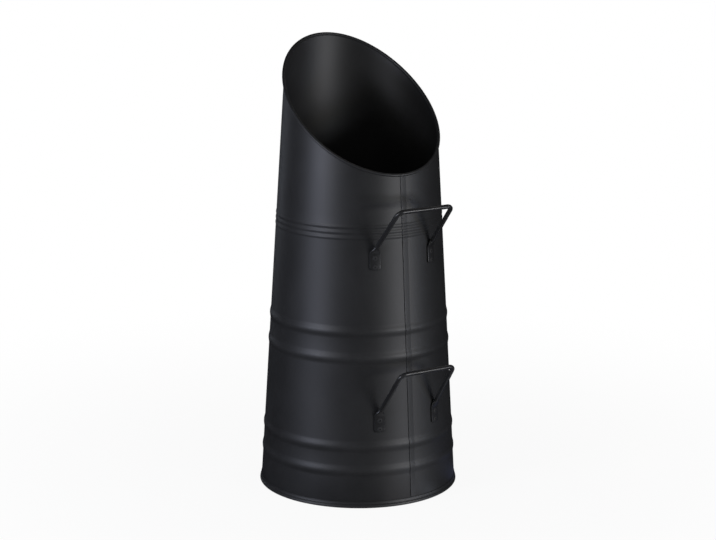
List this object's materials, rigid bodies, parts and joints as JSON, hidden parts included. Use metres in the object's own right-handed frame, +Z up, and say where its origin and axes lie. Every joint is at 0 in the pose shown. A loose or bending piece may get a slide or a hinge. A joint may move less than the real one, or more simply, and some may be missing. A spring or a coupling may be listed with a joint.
{
  "type": "coal scuttle",
  "caption": "Tall tapered sheet-steel coal hod with a slanted rolled mouth, swaged beads, a side seam and a pair of riveted lifting handles.",
  "frame": {"origin": "centre of the base plate's underside, on the floor", "axes": "+Z up along the axis of the shell; the low side of the mouth, the side seam and the handles are on the -Y side; +X is to the right when the handles are seen from the front"},
  "size_m": [0.2232, 0.2513, 0.499],
  "materials": {
    "shell_coat": "satin black powder coat on rolled sheet steel",
    "base_coat": "satin black powder coat, rubbed on the foot",
    "handle_coat": "satin black powder coat on bent rod",
    "rivet_coat": "satin black powder coat on the domed heads of blind rivets",
    "wire_steel": "plain drawn wire"
  },
  "bodies": {
    "root": {"shell": "shell_coat", "rim_wire": "wire_steel", "base_plate": "base_coat", "upper_handle": "handle_coat", "lower_handle": "handle_coat", "upper_left_rivets": "rivet_coat", "upper_right_rivets": "rivet_coat", "lower_left_rivets": "rivet_coat", "lower_right_rivets": "rivet_coat"}
  },
  "joints": []
}
